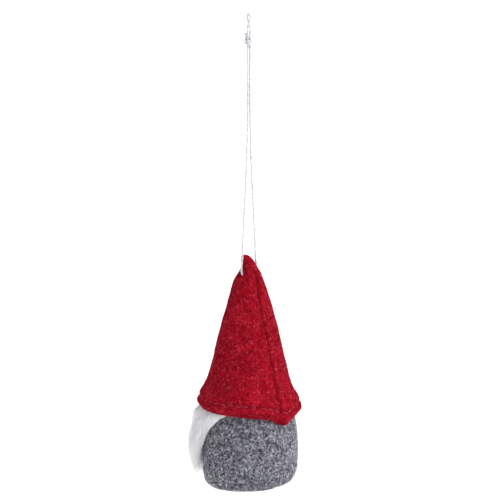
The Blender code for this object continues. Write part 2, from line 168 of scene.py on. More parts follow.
# Height of the strands and half the distance between them
STRAND_ROUTE = [
    (-14.2, 0.67), (-43.0, 0.7), (-61.0, 1.1), (-78.0, 2.0), (-89.0, 2.7), (-100.0, 3.4), (-111.0, 4.0),
]
# Half of the eye, from the knot towards the bight: along, across and height
EYE_SIDE = [
    (0.5, 0.3, -11.5), (0.52, 0.35, -9.7), (0.6, 0.5, -8.0), (0.6, 1.5, -6.0), (0.25, 2.25, -4.2),
    (-0.45, 2.3, -2.4), (-0.6, 1.65, -0.7), (-0.35, 0.75, CORD_D / 2 - 0.15),
]

# Colours, from deep to light
RED_FELT = [(0.12, 0.0005, 0.004), (0.255, 0.002, 0.009), (0.41, 0.008, 0.022)]
RED_LIGHT = [(0.27, 0.004, 0.011), (0.43, 0.011, 0.029), (0.72, 0.085, 0.125)]
RED_DARK = [(0.06, 0.0003, 0.003), (0.13, 0.001, 0.006), (0.24, 0.002, 0.010)]
RED_THREAD = [(0.24, 0.008, 0.020), (0.44, 0.045, 0.07)]
GREY_FELT = [(0.008, 0.008, 0.014), (0.045, 0.045, 0.062), (0.24, 0.24, 0.28)]
GREY_LIGHT = [(0.10, 0.10, 0.14), (0.36, 0.36, 0.41), (0.82, 0.82, 0.88)]
GREY_DARK = [(0.008, 0.008, 0.013), (0.022, 0.022, 0.032), (0.045, 0.045, 0.062)]
GREY_THREAD = [(0.05, 0.05, 0.06), (0.17, 0.17, 0.20)]
WHITE_FUR = [(0.80, 0.79, 0.81), (0.99, 0.98, 0.99)]
WHITE_CORD = [(0.34, 0.34, 0.36), (0.58, 0.58, 0.61)]
BACKING_CLOTH = [(0.55, 0.54, 0.53), (0.68, 0.67, 0.65), (0.78, 0.77, 0.75)]
FIBRE_FILL = [(0.70, 0.70, 0.68), (0.82, 0.82, 0.80), (0.90, 0.90, 0.89)]
BEAD_BANDS = [(0.46, 0.25, 0.12), (0.62, 0.38, 0.21), (0.72, 0.48, 0.29)]

# Points along a fibre, and how many fibres stand off each felt
FIBRE_STEPS = 5
FUZZ_COUNT = 7000
# Fibres that lie on the felts: piece, colours, count, width, lift and seed
HAT_FIBRES = [
    ("hat_fibres_light", "light", 7400, 0.11, 0.13, 101),
    ("hat_fibres_dark", "dark", 6500, 0.13, 0.09, 102),
]
BODY_FIBRES = [
    ("body_fibres_light_1", "light", 7400, 0.17, 0.12, 111),
    ("body_fibres_dark", "dark", 7400, 0.21, 0.14, 112),
    ("body_fibres_light_2", "light", 6400, 0.12, 0.26, 114),
]
# The beard's hairs: piece, count, seed, lowest and highest layer, width, wildness, tail, at the edge
BEARD_HAIRS = [
    ("beard_fur_under", 3400, 201, 0.3, 0.7, 0.17, 0.1, 4.5, False),
    ("beard_fur_middle", 3400, 202, 0.6, 0.9, 0.15, 0.25, 5.5, False),
    ("beard_fur_top", 3400, 203, 0.8, 1.02, 0.12, 0.5, 6.5, False),
    ("beard_fur_edge", 2200, 204, 0.1, 0.7, 0.13, 0.3, 4.0, True),
    ("beard_fur_wisps", 1700, 205, 0.4, 1.0, 0.14, 1.3, 14.0, False),
]


# Curves and noise

def smooth_values(stations, x):
    """Values at x of a smooth curve through the (x, value) stations."""
    xs = np.array([s[0] for s in stations])
    ys = np.array([s[1] for s in stations])
    slopes = np.gradient(ys, xs)
    x = np.clip(np.asarray(x, float), xs[0], xs[-1])
    i = np.clip(np.searchsorted(xs, x, side="right") - 1, 0, len(xs) - 2)
    span = xs[i + 1] - xs[i]
    t = (x - xs[i]) / span
    return (
        ys[i] * (2 * t**3 - 3 * t**2 + 1)
        + slopes[i] * span * (t**3 - 2 * t**2 + t)
        + ys[i + 1] * (3 * t**2 - 2 * t**3)
        + slopes[i + 1] * span * (t**3 - t**2)
    )


def smoothstep(low, high, x):
    t = np.clip((np.asarray(x, float) - low) / (high - low), 0.0, 1.0)
    return t * t * (3 - 2 * t)


def wrap(degrees):
    """Angle between -180 and 180 degrees."""
    return (np.asarray(degrees, float) + 180.0) % 360.0 - 180.0


def bell(x, width):
    return np.exp(-((x / width) ** 2))


def directions(azimuth):
    a = np.radians(np.asarray(azimuth, float))
    return np.stack([np.sin(a), -np.cos(a), np.zeros_like(a)], axis=-1)


def lattice_noise(points, cell, seed):
    """Smooth noise from -1 to 1 over points, with features one cell across."""
    q = np.asarray(points, float) / cell
    base = np.floor(q).astype(np.int64)
    f = q - base
    f = f * f * (3 - 2 * f)
    # Each corner of the lattice has a random value, from a hash of its place
    total = np.zeros(q.shape[:-1])
    for corner in range(8):
        step = np.array([corner & 1, corner >> 1 & 1, corner >> 2 & 1])
        c = (base + step).astype(np.uint64)
        h = c[..., 0] * np.uint64(374761393) + c[..., 1] * np.uint64(668265263)
        h = (h + c[..., 2] * np.uint64(2246822519) + np.uint64(seed * 7919)) & np.uint64(0xFFFFFFFF)
        h = ((h ^ (h >> np.uint64(13))) * np.uint64(1274126177)) & np.uint64(0xFFFFFFFF)
        h = h ^ (h >> np.uint64(16))
        value = h.astype(float) / 2**31 - 1.0
        weight = np.prod(np.where(step, f, 1 - f), axis=-1)
        total += value * weight
    return total


def felt_lumps(points, seed):
    """Height of a pressed felt's unevenness, in millimetres."""
    return (
        0.34 * lattice_noise(points, 11.0, seed)
        + 0.16 * lattice_noise(points, 4.5, seed + 1)
        + 0.09 * lattice_noise(points, 1.8, seed + 2)
        + 0.05 * lattice_noise(points, 0.9, seed + 3)
    )


# Making objects

def mesh_object(name, points, faces, material, smooth=True):
    """Mesh from points in millimetres and arrays of quads and triangles."""
    mesh = bpy.data.meshes.new(name)
    corners = np.concatenate([np.asarray(f, np.int32).ravel() for f in faces])
    sizes = np.concatenate([np.full(len(f), np.asarray(f).shape[1], np.int32) for f in faces])
    mesh.vertices.add(len(points))
    mesh.vertices.foreach_set("co", (np.asarray(points, float) * MM).astype(np.float32).ravel())
    mesh.loops.add(len(corners))
    mesh.loops.foreach_set("vertex_index", corners)
    mesh.polygons.add(len(sizes))
    mesh.polygons.foreach_set("loop_start", np.concatenate([[0], np.cumsum(sizes)[:-1]]).astype(np.int32))
    mesh.update(calc_edges=True)
    mesh.validate()
    if smooth:
        mesh.shade_smooth()
    mesh.materials.append(material)
    made = bpy.data.objects.new(name, mesh)
    bpy.context.scene.collection.objects.link(made)
    return made


def ring_faces(rows, columns):
    """Quads between rows of points that close round their columns."""
    i, j = np.meshgrid(np.arange(rows - 1), np.arange(columns), indexing="ij")
    k = (j + 1) % columns
    upper, lower = i * columns, (i + 1) * columns
    return np.stack([upper + j, lower + j, lower + k, upper + k], axis=-1).reshape(-1, 4)


def pole_faces(pole, first, columns, flip):
    j = np.arange(columns)
    k = (j + 1) % columns
    order = (first + k, first + j) if flip else (first + j, first + k)
    return np.stack([np.full(columns, pole), *order], axis=-1)


def capped_rings(name, rows, material, top=None, bottom=None):
    """Skin over rows of rings, top to bottom, closed at poles where they are given."""
    grid = np.asarray(rows, float)
    count, columns = grid.shape[:2]
    points = grid.reshape(-1, 3)
    faces = [ring_faces(count, columns)]
    for pole, first, flip in ((top, 0, False), (bottom, (count - 1) * columns, True)):
        if pole is not None:
            faces.append(pole_faces(len(points), first, columns, flip))
            points = np.vstack([points, pole])
    return mesh_object(name, points, faces, material)


def tubes(name, paths, radii, material, sides=3):
    """Tapered tubes along paths (count, steps, 3), with radii (count, steps), as one mesh."""
    paths = np.asarray(paths, float)
    count, steps, _ = paths.shape
    along = np.gradient(paths, axis=1)
    along /= np.linalg.norm(along, axis=2, keepdims=True) + 1e-9
    first = along[:, 0]
    helper = np.where(np.abs(first[:, 2:3]) < 0.9, [[0.0, 0.0, 1.0]], [[1.0, 0.0, 0.0]])
    side = np.cross(first, helper)
    side /= np.linalg.norm(side, axis=1, keepdims=True) + 1e-9
    sides_out = np.empty_like(paths)
    for s in range(steps):
        side = side - along[:, s] * np.sum(side * along[:, s], axis=1, keepdims=True)
        side /= np.linalg.norm(side, axis=1, keepdims=True) + 1e-9
        sides_out[:, s] = side
    other = np.cross(along, sides_out)
    angles = np.arange(sides) * 2 * np.pi / sides
    c, s = np.cos(angles), np.sin(angles)
    ring = sides_out[:, :, None] * c[:, None] + other[:, :, None] * s[:, None]
    points = paths[:, :, None] + ring * np.asarray(radii, float)[:, :, None, None]
    index = np.arange(count * steps * sides).reshape(count, steps, sides)
    a = index[:, :-1]
    b = index[:, 1:]
    quads = np.stack([a, np.roll(a, -1, axis=2), np.roll(b, -1, axis=2), b], axis=-1).reshape(-1, 4)
    caps = np.concatenate([index[:, 0, ::-1], index[:, -1]])
    return mesh_object(name, points.reshape(-1, 3), [quads, caps], material)


def smooth_path(route, step):
    """Evenly spaced points along a smooth curve through the route."""
    route = np.asarray(route, float)
    ends = np.vstack([2 * route[0] - route[1], route, 2 * route[-1] - route[-2]])
    dense = []
    for p0, p1, p2, p3 in zip(ends, ends[1:], ends[2:], ends[3:]):
        before = np.linalg.norm(p1 - p0)
        here = np.linalg.norm(p2 - p1)
        after = np.linalg.norm(p3 - p2)
        out_of = ((p1 - p0) / before * here + (p2 - p1) * before / here) / (before + here) * here
        into = ((p2 - p1) / here * after + (p3 - p2) * here / after) / (here + after) * here
        t = np.linspace(0, 1, 60, endpoint=False)[:, None]
        dense.append(
            p1 * (2 * t**3 - 3 * t**2 + 1) + out_of * (t**3 - 2 * t**2 + t)
            + p2 * (3 * t**2 - 2 * t**3) + into * (t**3 - t**2)
        )
    dense = np.vstack(dense + [route[-1:]])
    run = np.concatenate([[0], np.cumsum(np.linalg.norm(np.diff(dense, axis=0), axis=1))])
    at = np.linspace(0, run[-1], max(2, int(round(run[-1] / step)) + 1))
    return np.stack([np.interp(at, run, dense[:, k]) for k in range(3)], axis=-1)


# Materials

def noise_value(tree, source, scale, detail=3.0, roughness=0.6, distortion=0.0):
    made = tree.nodes.new("ShaderNodeTexNoise")
    made.inputs["Scale"].default_value = scale
    made.inputs["Detail"].default_value = detail
    made.inputs["Roughness"].default_value = roughness
    made.inputs["Distortion"].default_value = distortion
    tree.links.new(source, made.inputs["Vector"])
    return made.outputs["Fac"]


def ramp(tree, value, stops):
    made = tree.nodes.new("ShaderNodeValToRGB")
    elements = made.color_ramp.elements
    while len(elements) < len(stops):
        elements.new(0.5)
    for element, (place, colour) in zip(elements, stops):
        element.position = place
        element.color = (*colour, 1.0)
    tree.links.new(value, made.inputs["Fac"])
    return made.outputs["Color"]


def mix(tree, factor, a, b, blend="MIX"):
    made = tree.nodes.new("ShaderNodeMix")
    made.data_type = "RGBA"
    made.blend_type = blend
    for value, slot in ((factor, made.inputs[0]), (a, made.inputs[6]), (b, made.inputs[7])):
        if isinstance(value, bpy.types.NodeSocket):
            tree.links.new(value, slot)
        elif isinstance(value, tuple):
            slot.default_value = (*value, 1.0)
        else:
            slot.default_value = value
    return made.outputs[2]


def start_material(name, roughness, gloss=0.2, sheen=0.0, sheen_tint=(1.0, 1.0, 1.0)):
    made = bpy.data.materials.new(name)
    made.use_nodes = True
    tree = made.node_tree
    shader = tree.nodes["Principled BSDF"]
    shader.inputs["Roughness"].default_value = roughness
    shader.inputs["Specular IOR Level"].default_value = gloss
    shader.inputs["Sheen Weight"].default_value = sheen
    shader.inputs["Sheen Tint"].default_value = (*sheen_tint, 1.0)
    shader.inputs["Sheen Roughness"].default_value = 0.5
    place = tree.nodes.new("ShaderNodeTexCoord").outputs["Object"]
    return made, tree, shader, place


def bump(tree, shader, height, strength, distance):
    made = tree.nodes.new("ShaderNodeBump")
    made.inputs["Strength"].default_value = strength
    made.inputs["Distance"].default_value = distance
    tree.links.new(height, made.inputs["Height"])
    tree.links.new(made.outputs["Normal"], shader.inputs["Normal"])


def felt_material(name, deep, middle, light, patch):
    """Pressed felt: matted fibres in three tones, in patches a few millimetres across."""
    made, tree, shader, place = start_material(name, 0.95, 0.02, 0.03, light)
    patches = noise_value(tree, place, 1000.0 / patch, 5.0, 0.65, 0.6)
    matted = noise_value(tree, place, 1900.0, 3.0, 0.7, 2.6)
    wiry = noise_value(tree, place, 700.0, 3.0, 0.65, 4.5)
    tone = ramp(tree, patches, [(0.34, deep), (0.5, middle), (0.68, light)])
    strands = ramp(tree, matted, [(0.38, deep), (0.52, middle), (0.64, light)])
    both = mix(tree, 0.55, tone, strands)
    lifted = ramp(tree, wiry, [(0.42, (0.78, 0.78, 0.78)), (0.6, (1.18, 1.18, 1.18))])
    tree.links.new(mix(tree, 1.0, both, lifted, "MULTIPLY"), shader.inputs["Base Color"])
    rough = tree.nodes.new("ShaderNodeMapRange")
    rough.inputs["To Min"].default_value = 0.86
    rough.inputs["To Max"].default_value = 1.0
    tree.links.new(wiry, rough.inputs["Value"])
    tree.links.new(rough.outputs["Result"], shader.inputs["Roughness"])
    bump(tree, shader, matted, 0.7, 0.0003)
    return made


def fibre_material(name, colours, cell=2.0):
    """Loose fibres whose colour changes from one to the next, in lighter and darker drifts."""
    made, tree, shader, place = start_material(name, 0.7, 0.03, 0.03, colours[-1])
    value = noise_value(tree, place, 1000.0 / cell, 2.0, 0.7, 0.5)
    stops = [(0.32 + 0.36 * i / (len(colours) - 1), c) for i, c in enumerate(colours)]
    tree.links.new(ramp(tree, value, stops), shader.inputs["Base Color"])
    bump(tree, shader, noise_value(tree, place, 6000.0), 0.2, 0.00005)
    return made


def fur_material(name, shade, light):
    """Long synthetic fur: streaks that run down the pile, soft and a little glossy."""
    made, tree, shader, place = start_material(name, 0.6, 0.2, 0.15)
    stretch = tree.nodes.new("ShaderNodeMapping")
    stretch.inputs["Scale"].default_value = (1.0, 1.0, 0.12)
    tree.links.new(place, stretch.inputs["Vector"])
    streaks = noise_value(tree, stretch.outputs["Vector"], 900.0, 4.0, 0.6, 0.4)
    broad = noise_value(tree, stretch.outputs["Vector"], 260.0, 2.0, 0.5, 0.3)
    fine = ramp(tree, streaks, [(0.36, shade), (0.58, light)])
    wide = ramp(tree, broad, [(0.35, (0.86, 0.86, 0.88)), (0.6, (1.0, 1.0, 1.0))])
    tree.links.new(mix(tree, 1.0, fine, wide, "MULTIPLY"), shader.inputs["Base Color"])
    shader.inputs["Subsurface Weight"].default_value = 0.25
    shader.inputs["Subsurface Radius"].default_value = (1.0, 1.0, 1.0)
    shader.inputs["Subsurface Scale"].default_value = 0.001
    bump(tree, shader, streaks, 0.4, 0.0002)
    return made


def thread_material(name, deep, light):
    """Spun thread: small plies across its length."""
    made, tree, shader, place = start_material(name, 0.75, 0.1, 0.1, light)
    plies = noise_value(tree, place, 900.0, 3.0, 0.6, 1.0)
    tree.links.new(ramp(tree, plies, [(0.35, deep), (0.62, light)]), shader.inputs["Base Color"])
    bump(tree, shader, plies, 0.5, 0.0001)
    return made


def wood_material(name):
    """Pale turned wood with its grain running across the bead, under a thin varnish."""
    made, tree, shader, place = start_material(name, 0.38, 0.5)
    shader.inputs["Coat Weight"].default_value = 0.25
    shader.inputs["Coat Roughness"].default_value = 0.3
    stretch = tree.nodes.new("ShaderNodeMapping")
    stretch.inputs["Scale"].default_value = (0.15, 1.0, 1.0)
    tree.links.new(place, stretch.inputs["Vector"])
    growth = noise_value(tree, stretch.outputs["Vector"], 420.0, 2.0, 0.5, 1.2)
    grain = noise_value(tree, stretch.outputs["Vector"], 2600.0, 4.0, 0.6, 0.2)
    bands = ramp(tree, growth, list(zip((0.36, 0.48, 0.62), BEAD_BANDS)))
    pores = ramp(tree, grain, [(0.36, (0.74, 0.68, 0.62)), (0.58, (1.0, 1.0, 1.0))])
    tree.links.new(mix(tree, 1.0, bands, pores, "MULTIPLY"), shader.inputs["Base Color"])
    bump(tree, shader, grain, 0.25, 0.0001)
    return made


# Hat

def seam_azimuth(depth):
    return SEAM_TOP_AZIMUTH + (SEAM_BOTTOM_AZIMUTH - SEAM_TOP_AZIMUTH) * smoothstep(4.0, 60.0, depth)


def hem_drop(azimuth, depth):
    """How far a point hangs below its depth: the hem waves, and its seam corner hangs lowest."""
    a = (np.asarray(azimuth, float) + 160.0) % 360.0 - 160.0
    wave = -smooth_values(HEM_WAVE, a) * smoothstep(45.0, 66.0, depth)
    corner = CORNER_DROP * bell(a - CORNER_AZIMUTH, np.where(a < CORNER_AZIMUTH, 13.0, 21.0))
    return wave + corner * smoothstep(61.0, 71.0, depth)


def hat_points(azimuth, depth, inset=0.0):
    """Points of the hat's outside at azimuths and depths, moved in by the inset."""
    azimuth, depth = np.broadcast_arrays(np.asarray(azimuth, float), np.asarray(depth, float))
    turn = np.radians(azimuth - CROSSING_AZIMUTH)
    along = smooth_values(HAT_ALONG, depth)
    across = smooth_values(HAT_ACROSS, depth)
    along_part = np.cos(turn) / np.maximum(along, 1e-3)
    across_part = np.sin(turn) / np.maximum(across, 1e-3)
    radius = (along_part**2 + across_part**2) ** -0.5

    # The seam is a groove, with the folded allowance raised on one side of it
    from_seam = wrap(azimuth - seam_azimuth(depth))
    arc = np.radians(from_seam) * radius
    seam = smoothstep(4.0, 10.0, depth)
    radius = radius - 1.1 * seam * bell(arc, 0.6)
    radius = radius + 0.5 * seam * bell(arc - 1.8, 1.3) * (arc > 0)
    # The stitches pull a groove round the hat, and the hem bulges below it
    above = HEM_DEPTH - depth
    radius = radius - 1.15 * bell(above - STITCH_ABOVE_HEM, 0.9) + 0.55 * bell(above - 1.9, 1.3)
    # The hem's corner is pinched before the seam and flares behind it
    radius = radius - 0.9 * bell(from_seam + 4.0, 3.0) * smoothstep(66.0, 71.0, depth)
    radius = radius + 1.1 * bell(from_seam - 6.0, 8.0) * smoothstep(64.0, 71.0, depth)
    flat = directions(azimuth) * (radius - inset)[..., None]
    flat = flat + directions(LEAN_AZIMUTH) * smooth_values(TIP_LEAN, depth)[..., None]
    flat[..., 2] = TIP_Z - depth - hem_drop(azimuth, depth)
    return flat


def make_hat(material):
    columns = 288
    azimuths = np.arange(columns) * 360.0 / columns
    depths = np.concatenate([
        [0.12, 0.3, 0.6, 1.0, 1.5], np.arange(2.0, 7.0, 0.45), np.arange(7.0, 13.0, 0.25),
        np.arange(13.0, HEM_DEPTH, 0.45), [HEM_DEPTH],
    ])
    rows = [hat_points(azimuths, d) for d in depths]
    # The hem rolls under, and the felt's inside goes up to where the body hides it
    for turn in np.radians([25.0, 50.0, 75.0, 100.0, 125.0, 155.0]):
        row = hat_points(azimuths, HEM_DEPTH, inset=HEM_LIP * (1 - math.cos(turn)))
        row[:, 2] -= HEM_LIP * math.sin(turn) * 0.75
        rows.append(row)
    for depth in (70.0, 67.0, 64.0, 61.0):
        rows.append(hat_points(azimuths, depth, inset=HEM_THICKNESS))
    grid = np.array(rows)
    outward = directions(azimuths)[None]
    spread = smoothstep(0.5, 6.0, TIP_Z - grid[..., 2])[..., None]
    grid = grid + outward * felt_lumps(grid, 11)[..., None] * spread
    grid = dimple(grid)
    bottom = np.array([0.0, 0.0, TIP_Z - 60.0])
    top = directions(LEAN_AZIMUTH) * TIP_LEAN[0][1] + np.array([0.0, 0.0, TIP_Z])
    return capped_rings("hat", grid, material, top=top, bottom=bottom)


def dimple(points):
    """Presses the cord's two holes into the felt along the crossing's axis, between soft cheeks."""
    axis = directions(CROSSING_AZIMUTH)
    from_centre = points - np.array([0.0, 0.0, CROSSING_Z])
    u = from_centre @ axis
    v = from_centre @ directions(CROSSING_AZIMUTH + 90.0)
    z = from_centre[..., 2]
    beside = v * np.sign(u)
    press = 1.5 * bell(beside, 0.75) * smoothstep(-0.9, 0.1, z) * (1 - smoothstep(1.5, 3.5, z))
    far_cheek = 1.5 * bell(beside + 1.7, 0.95) * bell(z - 0.6, 1.9)
    near_cheek = 0.35 * bell(beside - 1.5, 0.7) * bell(z + 0.6, 0.9)
    return points - axis * ((press - far_cheek - near_cheek) * np.sign(u))[..., None]


# Stuffing

def vertex_places(mesh):
    places = np.empty(len(mesh.vertices) * 3, np.float32)
    mesh.vertices.foreach_get("co", places)
    return places.reshape(-1, 3).astype(float) / MM


def evaluated(made):
    return made.evaluated_get(bpy.context.evaluated_depsgraph_get())


def coarse_copy(made):
    """Enlarged voxel copy of a piece, for the cloth solver."""
    coarse = bpy.data.objects.new(made.name + "_coarse", made.data.copy())
    bpy.context.scene.collection.objects.link(coarse)
    coarse.data.transform(Matrix.Scale(CLOTH_SCALE, 4))
    remesh = coarse.modifiers.new("remesh", "REMESH")
    remesh.mode = "VOXEL"
    remesh.voxel_size = CLOTH_VOXEL * MM * CLOTH_SCALE
    remeshed = bpy.data.meshes.new_from_object(evaluated(coarse))
    coarse.modifiers.clear()
    coarse.data = remeshed
    return coarse


def blown_up(coarse, sewn):
    """Points of the coarse copy and how far its filling pushes each, held where sewn(points) is 1."""
    before = vertex_places(coarse.data) / CLOTH_SCALE
    held = coarse.vertex_groups.new(name="sewn")
    for index, weight in enumerate(sewn(before)):
        held.add([index], float(weight), "REPLACE")
    cloth = coarse.modifiers.new("cloth", "CLOTH")
    cloth.settings.effector_weights.gravity = 0.0
    cloth.settings.vertex_group_mass = "sewn"
    cloth.settings.use_pressure = True
    cloth.settings.uniform_pressure_force = CLOTH_PRESSURE
    cloth.settings.bending_stiffness = CLOTH_STIFFNESS
    for number in range(1, CLOTH_FRAMES + 1):
        bpy.context.scene.frame_set(number)
    move = vertex_places(evaluated(coarse).data) / CLOTH_SCALE - before
    far = np.linalg.norm(move, axis=1, keepdims=True)
    return before, move * np.minimum(1.0, CLOTH_CAP / (far + 1e-9))


def stuff(made, sewn):
    """Swells a felt piece as its filling does: its skin follows a coarse copy that is blown up as cloth.
    The skin starts a little smaller between its seams, so that it ends at its own size."""
    coarse = coarse_copy(made)
    before, move = blown_up(coarse, sewn)
    tree = KDTree(len(before))
    for index, place in enumerate(before):
        tree.insert(place, index)
    tree.balance()
    places = vertex_places(made.data)
    follow = np.empty_like(places)
    for index, place in enumerate(places):
        near = tree.find_n(place, 6)
        weights = np.array([1.0 / (distance + 0.2) for _, _, distance in near])
        follow[index] = (weights[:, None] * move[[k for _, k, _ in near]]).sum(axis=0) / weights.sum()
    outward = places * [1.0, 1.0, 0.0]
    outward /= np.linalg.norm(outward, axis=1, keepdims=True) + 1e-6
    places += follow - outward * (CLOTH_START_IN * (1 - sewn(places)))[:, None]
    made.data.vertices.foreach_set("co", (places * MM).astype(np.float32).ravel())
    made.data.update()
    bpy.data.objects.remove(coarse, do_unlink=True)
    bpy.context.scene.frame_set(1)


def hat_sewn(points):
    """1 at the tip, along the seam, at the hem's stitches and inside, 0 on the hat's panels."""
    depth = TIP_Z - points[:, 2]
    azimuth = np.degrees(np.arctan2(points[:, 0], -points[:, 1]))
    across = np.hypot(points[:, 0], points[:, 1])
    from_seam = np.radians(np.abs(wrap(azimuth - seam_azimuth(depth)))) * across
    inside = smooth_values(HAT_ACROSS, depth) - across > 2.3
    held = np.maximum(1 - smoothstep(13.0, 20.0, depth), smoothstep(60.0, 66.5, depth))
    return np.maximum(np.maximum(held, 1 - smoothstep(0.8, 3.0, from_seam)), inside * 1.0)


def body_sewn(points):
    """1 under the hem and round the base, 0 on the body's wall."""
    depth = TIP_Z - points[:, 2]
    inside = smooth_values(BODY_OUTSIDE, depth) - np.hypot(points[:, 0], points[:, 1]) > 6.5
    held = np.maximum(1 - smoothstep(70.0, 76.0, depth), smoothstep(102.0, 106.5, depth))
    return np.maximum(held, inside * 1.0)


# Body

def body_points(azimuth, depth):
    """Points of the body's outside: it leans a little below the hem, and its base rises on one side."""
    azimuth, depth = np.broadcast_arrays(np.asarray(azimuth, float), np.asarray(depth, float))
    wall = smooth_values(BODY_OUTSIDE, np.minimum(depth, BODY_WALL_BOTTOM))
    radius = smooth_values(BODY_OUTSIDE, depth) + (body_under(azimuth, depth) - wall)
    points = directions(azimuth) * radius[..., None]
    lean = BODY_LEAN * smoothstep(74.0, 90.0, depth)
    points = points + directions(BODY_LEAN_AZIMUTH) * lean[..., None]
    rise = smoothstep(96.0, 107.0, depth) * (1 - np.cos(np.radians(azimuth - BASE_LOW_AZIMUTH)))
    points[..., 2] = TIP_Z - depth + rise
    return points


def make_body(material):
    columns = 264
    azimuths = np.arange(columns) * 360.0 / columns
    depths = np.append(np.arange(BODY_TOP, BODY_BOTTOM, 0.5), BODY_BOTTOM)
    grid = np.array([body_points(azimuths, d) for d in depths])
    fade = smoothstep(BASE_Z, BASE_Z + 2.5, grid[..., 2])[..., None]
    grid = grid + directions(azimuths)[None] * felt_lumps(grid, 31)[..., None] * fade
    # The wall's lower edge turns in under the base
    under = grid[-1].copy()
    for share in (0.97, 0.94):
        row = under * [share, share, 1.0]
        row[:, 2] += 10.0 * (1 - share)
        grid = np.concatenate([grid, row[None]])
    top = np.array([0.0, 0.0, TIP_Z - BODY_TOP])
    bottom = np.array([0.0, 0.0, BASE_Z + 1.4])
    return capped_rings("body_sack", grid, material, top=top, bottom=bottom)


# Fibres

def surface_of(made):
    """Search tree, points and triangles of a piece."""
    mesh = made.data
    points = vertex_places(mesh)
    mesh.calc_loop_triangles()
    triangles = np.empty(len(mesh.loop_triangles) * 3, np.int32)
    mesh.loop_triangles.foreach_get("vertices", triangles)
    triangles = triangles.reshape(-1, 3)
    tree = BVHTree.FromPolygons(points.tolist(), triangles.tolist())
    return tree, points, triangles


def sample_surface(surface, count, keep, rng):
    """Random points and normals on the triangles whose centres keep() accepts."""
    _, points, triangles = surface
    corners = points[triangles]
    centres = corners.mean(axis=1)
    normals = np.cross(corners[:, 1] - corners[:, 0], corners[:, 2] - corners[:, 0])
    areas = np.linalg.norm(normals, axis=1)
    normals = normals / (areas[:, None] + 1e-12)
    wanted = areas * keep(centres, normals)
    picked = rng.choice(len(wanted), size=count, p=wanted / wanted.sum())
    a, b = rng.random(count), rng.random(count)
    over = a + b > 1
    a[over], b[over] = 1 - a[over], 1 - b[over]
    c = corners[picked]
    place = c[:, 0] + (c[:, 1] - c[:, 0]) * a[:, None] + (c[:, 2] - c[:, 0]) * b[:, None]
    return place, normals[picked]


def lying_fibres(surface, count, keep, length, width, lift, curl, seed):
    """Curved fibres that lie on the surface: paths and radii."""
    steps = FIBRE_STEPS
    rng = np.random.default_rng(seed)
    roots, normals = sample_surface(surface, count, keep, rng)
    heading = rng.normal(size=(count, 3))
    heading -= normals * np.sum(heading * normals, axis=1, keepdims=True)
    heading /= np.linalg.norm(heading, axis=1, keepdims=True) + 1e-9
    turn = rng.normal(0.0, curl, count)
    bend = rng.normal(0.0, curl * 0.6, count)
    lengths = length * rng.uniform(0.55, 1.35, count)
    stride = (lengths / (steps - 1))[:, None]
    heights = lift * rng.uniform(0.2, 1.0, count)
    tree = surface[0]
    paths = np.empty((count, steps, 3))
    place, normal = roots, normals
    for s in range(steps):
        rise = heights * (0.35 + 0.65 * math.sin(math.pi * s / (steps - 1)))
        paths[:, s] = place + normal * rise[:, None]
        heading -= normal * np.sum(heading * normal, axis=1, keepdims=True)
        heading /= np.linalg.norm(heading, axis=1, keepdims=True) + 1e-9
        angle = turn + bend * s
        sideways = np.cross(normal, heading)
        heading = heading * np.cos(angle)[:, None] + sideways * np.sin(angle)[:, None]
        moved = place + heading * stride
        found = [tree.find_nearest(Vector(p)) for p in moved]
        place = np.array([f[0] for f in found])
        fresh = np.array([f[1] for f in found])
        flip = np.sign(np.sum(fresh * normal, axis=1, keepdims=True))
        normal = fresh * np.where(flip == 0, 1, flip)
    taper = np.sin(np.pi * (np.arange(steps) + 0.6) / (steps + 0.2))
    radii = width / 2 * rng.uniform(0.6, 1.3, count)[:, None] * np.clip(taper, 0.35, 1)[None]
    return paths, radii


def standing_fibres(surface, keep, length, width, seed):
    """Loose fibres that leave the surface and curl away: paths and radii."""
    count, steps = FUZZ_COUNT, FIBRE_STEPS
    rng = np.random.default_rng(seed)
    roots, normals = sample_surface(surface, count, keep, rng)
    sideways = rng.normal(size=(count, 3))
    sideways -= normals * np.sum(sideways * normals, axis=1, keepdims=True)
    sideways /= np.linalg.norm(sideways, axis=1, keepdims=True) + 1e-9
    curl = rng.normal(size=(count, 3)) * 0.5
    lengths = length * rng.uniform(0.4, 1.5, count)
    t = np.linspace(0, 1, steps)[None, :, None]
    out = normals[:, None] * (0.9 * t - 0.35 * t**2)
    reach = sideways[:, None] * (0.7 * t**1.5) + curl[:, None] * t**2 * 0.5
    paths = roots[:, None] + (out + reach) * lengths[:, None, None]
    taper = 1 - 0.7 * np.linspace(0, 1, steps)
    radii = width / 2 * rng.uniform(0.6, 1.3, count)[:, None] * taper[None]
    return paths, radii


# Beard

def beard_field(share, depth):
    """Azimuth of a strand of fur at a depth: strands keep their share of the beard's width."""
    return share * smooth_values(BEARD_SPAN, depth)


def hem_edge_depth(azimuth):
    return HEM_DEPTH + hem_drop(azimuth, HEM_DEPTH)


def fur_room(azimuth, depth):
    """How thick the fur stands over the body: it swells from under the hem and thins towards its ends."""
    below_hem = depth - hem_edge_depth(azimuth)
    swell = 0.25 + 0.75 * smoothstep(-1.5, 3.0, below_hem)
    sides = 1 - 0.45 * smoothstep(40.0, 72.0, np.abs(azimuth))
    cheeks = 1.9 * bell(np.abs(azimuth) - 16.0, 9.0) * bell(below_hem - 3.5, 4.5)
    return FUR_THICKNESS * swell * sides * (1 - 0.35 * smoothstep(86.0, 104.0, depth)) + cheeks


def body_under(azimuth, depth):
    """Radius of the body's surface, with the hollow that the nose presses into it."""
    nose_depth = TIP_Z - NOSE_CENTRE[2]
    sideways = np.radians(wrap(azimuth)) * 20.0
    hollow = NOSE_HOLLOW * bell(sideways, 6.0) * bell(depth - nose_depth - 0.8, 6.5)
    return smooth_values(BODY_OUTSIDE, np.minimum(depth, BODY_WALL_BOTTOM)) - hollow


